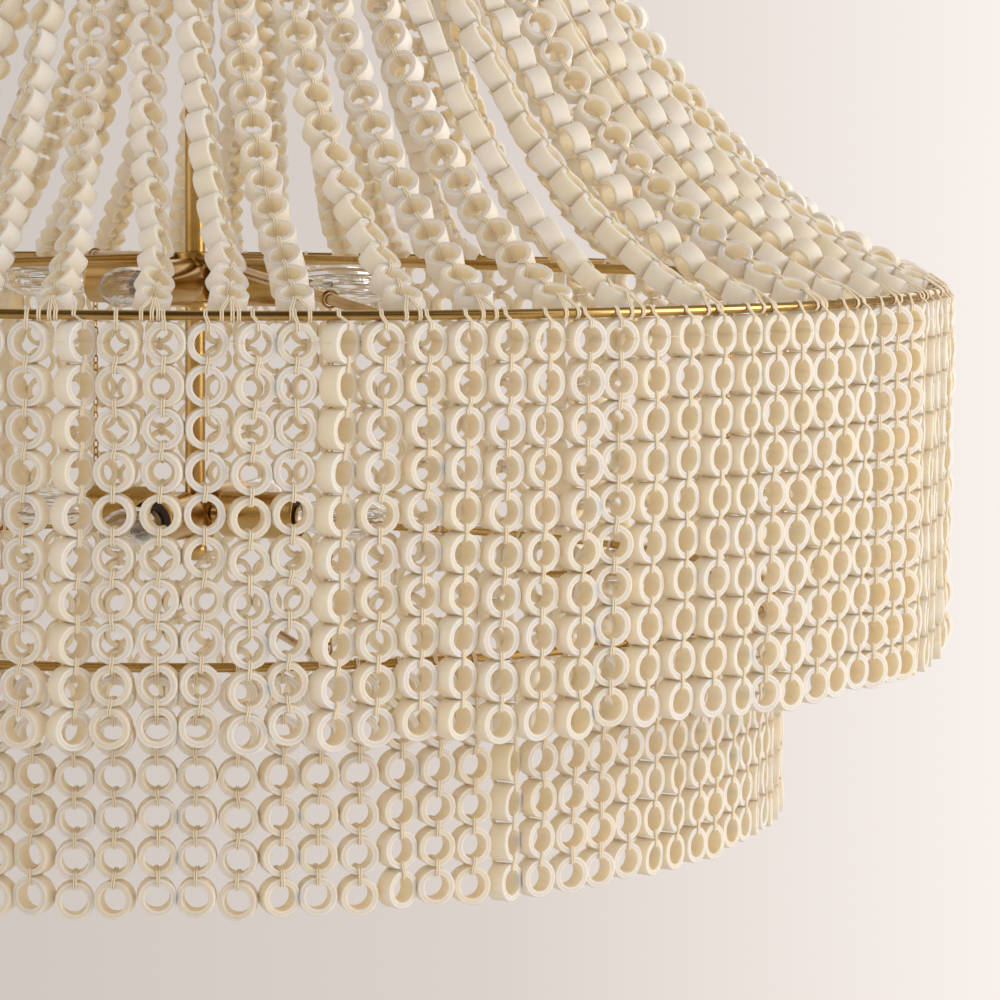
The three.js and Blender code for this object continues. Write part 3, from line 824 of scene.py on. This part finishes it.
class Shape:
    """Several closed surfaces in one mesh, with polygons of any size."""

    def __init__(self):
        self.verts, self.faces = [], []

    def lathe(self, profile, segments, axis=(0, 0, 1), origin=(0, 0, 0), closed=False):
        """Turns a profile of (radius, height) about an axis. The outline runs upwards on its outside."""
        turn = Vector((0, 0, 1)).rotation_difference(Vector(axis).normalized()).to_matrix()
        rings = []
        for r, h in profile:
            angles = [0.0] if r < 1e-6 else turns(segments)
            rings.append([len(self.verts) + j for j in range(len(angles))])
            for a in angles:
                spot = Vector((r * math.cos(a), r * math.sin(a), h))
                self.verts.append(turn @ spot + Vector(origin))
        for low, high in zip(rings, rings[1:] + rings[:1] if closed else rings[1:]):
            for j in range(segments):
                k = j + 1
                corners = low[j % len(low)], low[k % len(low)], high[k % len(high)], high[j % len(high)]
                face = tuple(dict.fromkeys(corners))
                if len(face) > 2:
                    self.faces.append(face)
        return self

    def tube(self, path, radius, sides, closed=True, side=None):
        """A wire along a path, its ends rounded where it isn't closed."""
        spots = [Vector(p) for p in path]
        radii = [radius] * len(spots)
        if not closed:
            caps = []
            for end, inner in ((0, 1), (-1, -2)):
                out = (spots[end] - spots[inner]).normalized()
                caps.append([(spots[end] + out * radius * math.sin(t), radius * math.cos(t))
                             for t in (0.5, 1.0, 1.45)])
            spots, radii = zip(*caps[0][::-1], *zip(spots, radii), *caps[1])
        count, base = len(spots), len(self.verts)
        across = Vector(side) if side else None
        for i, spot in enumerate(spots):
            ahead = spots[(i + 1) % count] if closed or i < count - 1 else spot
            behind = spots[i - 1] if closed or i > 0 else spot
            tangent = (ahead - behind).normalized()
            if across is None:
                across = tangent.orthogonal().normalized()
            u = (across - tangent * across.dot(tangent)).normalized()
            if not side:
                across = u
            v = tangent.cross(u)
            for a in turns(sides):
                self.verts.append(spot + (u * math.cos(a) + v * math.sin(a)) * radii[i])
        self.faces += bands(count, sides, closed, base)
        if not closed:
            self.faces.append(tuple(base + k for k in reversed(range(sides))))
            self.faces.append(tuple(base + (count - 1) * sides + k for k in range(sides)))
        return self

    def object(self, name, body, *nodes, finish=BRASS, angle=38):
        """The piece, on its body and in place of its nodes, with sharp edges above an angle."""
        mesh = bpy.data.meshes.new(name)
        mesh.from_pydata([tuple(v * MM) for v in self.verts], [], self.faces)
        mesh.polygons.foreach_set("use_smooth", np.ones(len(mesh.polygons), dtype=bool))
        mesh.set_sharp_from_angle(angle=math.radians(angle))
        mesh.update()
        obj = finish_object(name, mesh, finish)
        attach(obj, body)
        if nodes:
            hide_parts(*nodes)


def circle(radius, z, segments):
    return [(radius * math.cos(a), radius * math.sin(a), z) for a in turns(segments)]


def upright_ring(radius, middle, segments=48, az=0.0):
    """A circle that stands in the plane across an azimuth."""
    middle, along = np.array(middle), along_of(az) * radius
    return [tuple(middle + along * math.cos(a) + UP * radius * math.sin(a)) for a in turns(segments)]


def lifted(profile, z):
    return [(r, h + z) for r, h in profile]


def disc(radius, low, high, ease):
    return eased([(0, low), (radius, low), (radius, high), (0, high)], ease)


def sleeve(bore, radius, low, high, ease):
    """A tube's profile, which starts and ends in the middle of its bore."""
    middle, slit = (low + high) / 2, 0.01
    return eased([(bore, middle - slit), (bore, low), (radius, low), (radius, high), (bore, high),
                  (bore, middle + slit)], ease)


# Frame

def add_hoops():
    Shape().tube(circle(HOOP_R, HOOP_Z, 240), HOOP_WIRE, 14).object("main_hoop_wire", "frame", "main_hoop")
    lower = Shape().tube(circle(LOWER_R, LOWER_Z, 220), LOWER_WIRE, 14)
    brazed = eased([(0, -5.0), (ARM_R + 0.05, -4.6), (ARM_R + 0.9, -1.5), (ARM_R + 1.0, 0.0), (0, 0.4)],
                   0.4)
    for az in quarters(SPOKE_AZ):
        inner, outer = at(az, LOWER_R - ARM_LENGTH + ARM_R, LOWER_Z), at(az, LOWER_R - 0.6, LOWER_Z)
        lower.tube([inner, outer], ARM_R, 18, closed=False)
        lower.lathe(brazed, 20, out_of(az), at(az, LOWER_R - LOWER_WIRE + 0.9, LOWER_Z))
    lower.object("lower_hoop_wire", "tier", "lower_hoop")


def add_stem_and_spokes():
    Shape().lathe(disc(STEM_R, STEM_BOTTOM, STEM_TOP, 0.6), 48).object("stem_tube", "frame", "stem")
    hub_r, hub_half, hub_z = 12.7, 3.5, HOOP_Z + SPOKE_RISE
    hub = sleeve(STEM_R + SEAT, hub_r, hub_z - hub_half, hub_z + hub_half, 0.7)
    Shape().lathe(hub, 56, closed=True).object("spoke_hub_disc", "frame", "spoke_hub")
    for number, az in enumerate(quarters(SPOKE_AZ), 1):
        start, end = (Vector(at(az, r, HOOP_Z + spoke_height(r))) for r in (SPOKE_START, SPOKE_END))
        rod = disc(SPOKE_R, 0, (end - start).length, 0.7)
        spoke = Shape().lathe(rod, 24, end - start, start)
        spoke.object(f"main_spoke_rod_{number}", "frame", f"main_spoke_{number}")


def add_crown():
    hub_r, hub_half = 16, 7
    crown = Shape().tube(circle(CROWN_R, CROWN_Z, 140), CROWN_WIRE, 14)
    crown.lathe(lifted(sleeve(STEM_R + SEAT, hub_r, -hub_half, hub_half, 1.0), CROWN_Z), 56, closed=True)
    brazed = eased([(0, -1.0), (3.9, -1.0), (3.4, 1.2), (2.55, 3.0), (0, 3.2)], 0.4)
    for az in quarters(0):
        crown.tube([at(az, 12, CROWN_Z), at(az, CROWN_R - 0.5, CROWN_Z)], CROWN_WIRE, 16, closed=False)
        for start, sign in ((hub_r - 0.1, 1), (CROWN_R - 2.2, -1)):
            crown.lathe(brazed, 20, out_of(az) * sign, at(az, start, CROWN_Z))
    crown.object("crown_hoop", "frame", "crown_ring")


# Ceiling fitting

CANOPY_R, CANOPY_DEPTH, CANOPY_WALL = 65.0, 26.0, 1.4
CANOPY_RIM, CANOPY_FLAT, CANOPY_HOLE = 8.0, 12.4, 5.3
LOOP_R, LOOP_WIRE, LOOP_Z, STEM_LOOP_Z = 14.5, 2.5, -46.8, -109.2
LINK_TOP, LINK_LENGTH, LINK_BEND, LINK_WIRE = -56.0, 44.0, 9.5, 2.5
# Collars, with heights from their tops
NIPPLE_COLLAR, NIPPLE_COLLAR_Z = [(0, -8), (8.6, -8), (11, -6.1), (11, -1.9), (9.4, 0), (0, 0)], -26.3
STEM_COLLAR, STEM_COLLAR_Z = [(0, -14), (7.4, -14), (9, -12.3), (9, -2.9), (7.0, 0), (0, 0)], -121.7
HALF_TURN = [i / 16 * math.pi for i in range(17)]


def canopy_side(inset):
    """The canopy's outline from its rim in to its flat."""
    wide, deep = CANOPY_R - CANOPY_FLAT - inset, CANOPY_DEPTH - CANOPY_RIM - inset
    return [(CANOPY_R - inset, 0.0)] + [(CANOPY_FLAT + wide * math.cos(a / 2),
                                         -CANOPY_RIM - deep * math.sin(a / 2)) for a in HALF_TURN]


def add_ceiling_fitting():
    shell = [(CANOPY_HOLE, -CANOPY_DEPTH), *canopy_side(0)[::-1], *canopy_side(CANOPY_WALL),
             (CANOPY_HOLE, CANOPY_WALL - CANOPY_DEPTH)]
    Shape().lathe(shell, 72, closed=True).object("canopy_dome", "ceiling", "canopy", angle=50)
    loop = Shape().lathe(disc(5, -34.3, -2.8, 0.5), 28)
    loop.lathe(eased(lifted(NIPPLE_COLLAR, NIPPLE_COLLAR_Z), 0.8), 40)
    loop.tube(upright_ring(LOOP_R, (0, 0, LOOP_Z)), LOOP_WIRE, 16)
    loop.object("canopy_loop_cast", "ceiling", "canopy_loop")
    link = []
    for middle, start in ((LINK_TOP - LINK_BEND, 0.0), (LINK_TOP + LINK_BEND - LINK_LENGTH, math.pi)):
        for a in HALF_TURN:
            link.append((0, LINK_BEND * math.cos(start + a), middle + LINK_BEND * math.sin(start + a)))
    Shape().tube(link, LINK_WIRE, 16, side=(1, 0, 0)).object("hang_link_wire", "link", "hang_link")
    loop = Shape().lathe(eased(lifted(STEM_COLLAR, STEM_COLLAR_Z), 0.8), 40)
    loop.tube(upright_ring(LOOP_R, (0, 0, STEM_LOOP_Z)), LOOP_WIRE, 16)
    loop.object("stem_loop_cast", "frame", "stem_loop")
    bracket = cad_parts["ceiling_bracket"]
    bracket.data.materials.clear()
    bracket.data.materials.append(STEEL[0])


# Chains

HIGH_RING, LOW_RING, END_WIRE = 4.4, 3.7, 0.8       # the end rings of a chain
LINK_HALF_WIDTH, LINK_HALF_STRAIGHT, CHAIN_WIRE = 1.675, 1.325, 0.52
CHAIN_PITCH, CHAIN_OVERLAP = 4.95, 2.1


def link_path(middle, turn, half_straight):
    side = Vector((math.cos(turn), math.sin(turn), 0))
    points = []
    for sign in (1, -1):
        for i in range(7):
            a = math.pi * i / 6
            x = LINK_HALF_WIDTH * math.cos(a) * sign
            z = half_straight * sign + LINK_HALF_WIDTH * math.sin(a) * sign
            points.append(Vector(middle) + side * x + Vector((0, 0, z)))
    return points, side.cross(Vector((0, 0, 1)))


def add_chains():
    for i, az in enumerate(quarters(SPOKE_AZ)):
        top, bottom = HOOP_Z + spoke_height(CHAIN_R), LOWER_Z
        chain = Shape()
        chain.tube(upright_ring(HIGH_RING, at(az, CHAIN_R, top), 24, az), END_WIRE, 8)
        chain.tube(upright_ring(LOW_RING, at(az, CHAIN_R, bottom), 24, az), END_WIRE, 8)
        high, low = top - HIGH_RING - END_WIRE + 0.1, bottom + LOW_RING + END_WIRE - 0.1
        length = high - low - CHAIN_OVERLAP
        count = round(length / CHAIN_PITCH)
        pitch = length / count
        draws = np.random.RandomState(40 + i)
        for j in range(count):
            middle = at(az, CHAIN_R, high - CHAIN_OVERLAP / 2 - pitch * (j + 0.5))
            turn = math.radians(az) + (j % 2) * math.pi / 2 + math.pi / 4 + draws.uniform(-0.25, 0.25)
            path, normal = link_path(middle, turn, LINK_HALF_STRAIGHT + (pitch - CHAIN_PITCH) / 2)
            chain.tube(path, CHAIN_WIRE, 6, side=normal)
        chain.object(f"chain_links_{i + 1}", f"chain_{i + 1}", f"chain_{i + 1}")


# Lamps: profiles of (distance from the lamp's own axis, distance from the stem's axis)

CUP = [(0, 12.05), (5, 12.05), (5, 18.4), (6.2, 19), (13.2, 19), (14.5, 20.6), (14.5, 67.6), (14.1, 69),
       (13.3, 69), (12.9, 68.2), (12.9, 64), (6.8, 64), (6.8, 46.7), (0, 46.7)]
ENVELOPE = [(6.2, 69.5), (8.8, 70.4), (9.1, 72.4), (8.75, 74.4), (9.6, 78.5), (11.0, 84.5), (11.75, 91),
            (12.0, 99), (12.0, 107), (11.5, 114), (10.3, 120.0), (8.3, 125.0), (5.6, 128.9),
            (2.8, 130.9), (0, 131.3)]
GLASS_WALL = 0.7
INSIDE = [(max(0.0, r - GLASS_WALL), h - (GLASS_WALL if r < 3 else 0.0)) for r, h in ENVELOPE[::-1]]
SCREW = [(6.45 if k % 2 else 5.9, 48.4 + k * 1.5) for k in range(12)]
BULB_BASE = [(0, 47.1), *SCREW, (6.45, 67.0), (6.45, 69.3), (0, 69.3)]
GLASS_MOUNT = [(0, 69.4), (4.2, 69.4), (3.2, 73), (2.0, 80), (1.5, 88), (1.7, 90), (0, 91)]


def cluster_profile(axis):
    bore, outer, low, high = STEM_R + SEAT, 11.75, axis - 15.7, axis + 9.3
    groove = [(outer, low + 3.4), (outer - 0.5, low + 3.9), (outer, low + 4.4)]
    return eased([(bore, axis - 3), (bore, low), (outer, low), *groove, (outer, high), (bore, high),
                  (bore, axis - 2.9)], 0.4)


def add_lamp(level, number, az, axis):
    """A socket cup with its insert, and a bulb: envelope, base, glass mount and filament."""
    way, origin = out_of(az), (0, 0, axis)
    body = f"{level}_bulb_{number}"
    Shape().lathe(eased(CUP, 0.5), 56, way, origin).object(
        f"{level}_cup_{number}", "frame", f"{level}_socket_{number}")
    Shape().lathe(sleeve(6.75, 12.6, 62.4, 64.9, 0.3), 40, way, origin, closed=True).object(
        f"{level}_insert_{number}", "frame", finish=INSERT)
    Shape().lathe(eased(ENVELOPE, 1.2, 2) + eased(INSIDE, 1.2, 2), 40, way, origin, closed=True).object(
        f"{level}_bulb_envelope_{number}", body, body, finish=GLASS)
    Shape().lathe(eased(BULB_BASE, 0.4, 2), 32, way, origin).object(f"{level}_bulb_base_{number}", body)
    Shape().lathe(GLASS_MOUNT, 20, way, origin).object(f"{level}_bulb_mount_{number}", body, finish=GLASS)

    def spot(radius, turn, reach):
        a = math.radians(turn)
        place = way * reach + along_of(az) * radius * math.cos(a)
        return tuple(place + UP * (axis + radius * math.sin(a)))

    filament = []
    for k in range(10):
        radius, reach = (5.6, 84) if k % 2 else (6.4, 118)
        filament += [spot(radius, 36 * k, reach), spot(radius, 36 * k + 8, reach)]
    wires = Shape().tube(filament, 0.22, 6, closed=False)
    wires.tube([spot(1.0, 0, 86), spot(1.0, 0, 96), spot(0.6, 40, 119)], 0.3, 6, closed=False)
    wires.tube([spot(1.2, 0, 84), filament[0]], 0.2, 6, closed=False)
    wires.tube([spot(1.2, 180, 84), filament[-1]], 0.2, 6, closed=False)
    wires.object(f"{level}_bulb_filament_{number}", body, finish=WIRE)


def add_lamps():
    for level, axis in (("upper", UPPER_AXIS), ("lower", LOWER_AXIS)):
        Shape().lathe(cluster_profile(axis), 48, closed=True).object(
            f"{level}_cluster_hub", "frame", f"{level}_cluster_body")
        for number, az in enumerate(quarters(SOCKET_AZ), 1):
            add_lamp(level, number, az, axis)


def add_finial():
    radius, neck, neck_height, top = 7.5, 4.5, 1.0, STEM_BOTTOM - SEAT
    middle = top - neck_height - radius * math.cos(math.asin(neck / radius))
    reach = math.pi * 0.795         # round to where the ball meets its neck
    ball = []
    for i in range(19):
        a = reach * i / 18
        ball.append((radius * math.sin(a), middle - radius * math.cos(a)))
    ball += [(neck, top - 0.6), (neck, top), (0, top)]
    Shape().lathe(ball, 40).object("finial_ball", "frame", "finial")


# Camera, floor and light

SENSOR, FOCAL = 36.0, 3.6223    # millimetres, and focal length over the picture's width
YAW, PITCH, ROLL = math.radians(4.834), math.radians(5.698), math.radians(0.478)
CAMERA_PLACE = (0.0, -2.2393, -0.49558)
FLOOR_R, FLOOR_Z = 3300.0, -1900.0


def add_camera():
    forward = Vector((math.sin(YAW) * math.cos(PITCH), math.cos(YAW) * math.cos(PITCH), -math.sin(PITCH)))
    level = Vector((math.cos(YAW), -math.sin(YAW), 0.0))
    upright = level.cross(forward)
    right = math.cos(ROLL) * level + math.sin(ROLL) * upright
    top = -math.sin(ROLL) * level + math.cos(ROLL) * upright
    data = bpy.data.cameras.new("camera")
    data.sensor_fit = "HORIZONTAL"
    data.sensor_width = SENSOR
    data.lens = SENSOR * FOCAL
    camera = placed("camera", data)
    place = Matrix((right, top, -forward)).transposed().to_4x4()
    place.translation = Vector(CAMERA_PLACE)
    camera.matrix_world = place
    bpy.context.scene.camera = camera


def add_floor():
    m = Material("pale_floor")
    cloud = m.noise(1.4, 4.0, 0.55)
    m.surface(m.ramp(cloud, (0.3, (0.70, 0.68, 0.66)), (0.7, (0.74, 0.72, 0.70))))
    m.set(Roughness=0.7)
    points = circle(FLOOR_R, FLOOR_Z, 96)
    mesh = bpy.data.meshes.new("floor")
    mesh.from_pydata([tuple(c * MM for c in p) for p in points], [], [tuple(range(len(points)))])
    mesh.materials.append(m.material)
    obj = placed("floor", mesh)


def add_area_light(name, place, aim, size, power, colour):
    data = bpy.data.lights.new(name, "AREA")
    data.shape = "RECTANGLE"
    data.size, data.size_y = size
    data.energy = power
    data.color = colour
    obj = placed(name, data)
    obj.location = place
    obj.rotation_mode = "QUATERNION"
    obj.rotation_quaternion = (Vector(aim) - Vector(place)).to_track_quat("-Z", "Y")


def add_world():
    studio = bpy.data.worlds.new("studio")
    bpy.context.scene.world = studio
    studio.use_nodes = True
    n = Nodes(studio.node_tree)
    way = n.node("SeparateXYZ")
    n.link(n.node("TexCoord").outputs["Generated"], way.inputs[0])

    def fade(part, *stops, low=-1.0, high=1.0):
        """A ramp over the X, Y or Z part of a ray's direction."""
        scale = n.node("MapRange", From_Min=low, From_Max=high)
        n.link(way.outputs[part], scale.inputs["Value"])
        return n.ramp(scale.outputs[0], *stops)

    # The wall behind the object: pale, greyer on its left and lighter on its right
    wall = fade("X", (0.0, (0.613, 0.557, 0.517)), (0.5, (0.715, 0.645, 0.60)),
                (1.0, (0.985, 0.915, 0.875)), low=-0.08, high=0.24)
    # What the metal shows: a dark studio in front, a bright panel on each side, the wall behind
    front = fade("Z", (0.0, (0.16, 0.11, 0.05)), (0.38, (0.28, 0.22, 0.12)),
                 (0.44, (0.50, 0.44, 0.34)), (0.48, (0.44, 0.38, 0.28)), (0.52, (0.05, 0.03, 0.012)),
                 (0.80, (0.05, 0.03, 0.012)), (1.0, (0.20, 0.15, 0.10)))
    panel = fade("Z", (0.0, (0.10, 0.07, 0.03)), (0.24, (0.12, 0.08, 0.04)),
                 (0.32, (1.3, 1.22, 1.10)), (0.80, (1.3, 1.22, 1.10)), (0.90, (0.08, 0.05, 0.02)))
    seen = n.mix(fade("Y", (0.14, 0.0), (0.31, 1.0)), front, panel)
    seen = n.mix(fade("Y", (0.46, 0.0), (0.58, 1.0)), seen, (0.34, 0.31, 0.28))
    seen = n.mix(fade("Y", (0.82, 0.0), (0.92, 1.0), low=0.0), seen, wall)
    # What lights the object: soft from all round, stronger from its right, weaker from above
    soft = fade("X", (0.0, (0.91, 0.852, 0.815)), (1.0, (1.075, 1.01, 0.975)))
    dim = fade("Z", (0.0, (0.92, 0.90, 0.87)), (0.45, 1.0), (0.75, 0.68), (1.0, 0.48))
    soft = n.mix(1.0, soft, dim, "MULTIPLY")
    rays = n.node("LightPath").outputs
    through = n.math("MAXIMUM", rays["Is Camera Ray"], rays["Is Transmission Ray"])
    lit = n.mix(rays["Is Glossy Ray"], soft, seen)
    n.link(n.mix(through, lit, wall), n.tree.nodes["Background"].inputs["Color"])


add_skirt(UPPER)
add_skirt(LOWER)
add_veil()
add_hoops()
add_stem_and_spokes()
add_crown()
add_ceiling_fitting()
add_chains()
add_lamps()
add_finial()
add_camera()
add_floor()
add_area_light("key", (3.3, -0.9, -0.2), (0.0, 0.0, -0.6), (2.0, 2.0), 42.0, (1.0, 0.955, 0.925))
add_area_light("back", (1.4, 3.0, 0.0), (0.0, 0.0, -0.5), (2.6, 1.6), 13.0, (1.0, 0.96, 0.935))
add_world()
bpy.context.scene.view_settings.view_transform = "Standard"
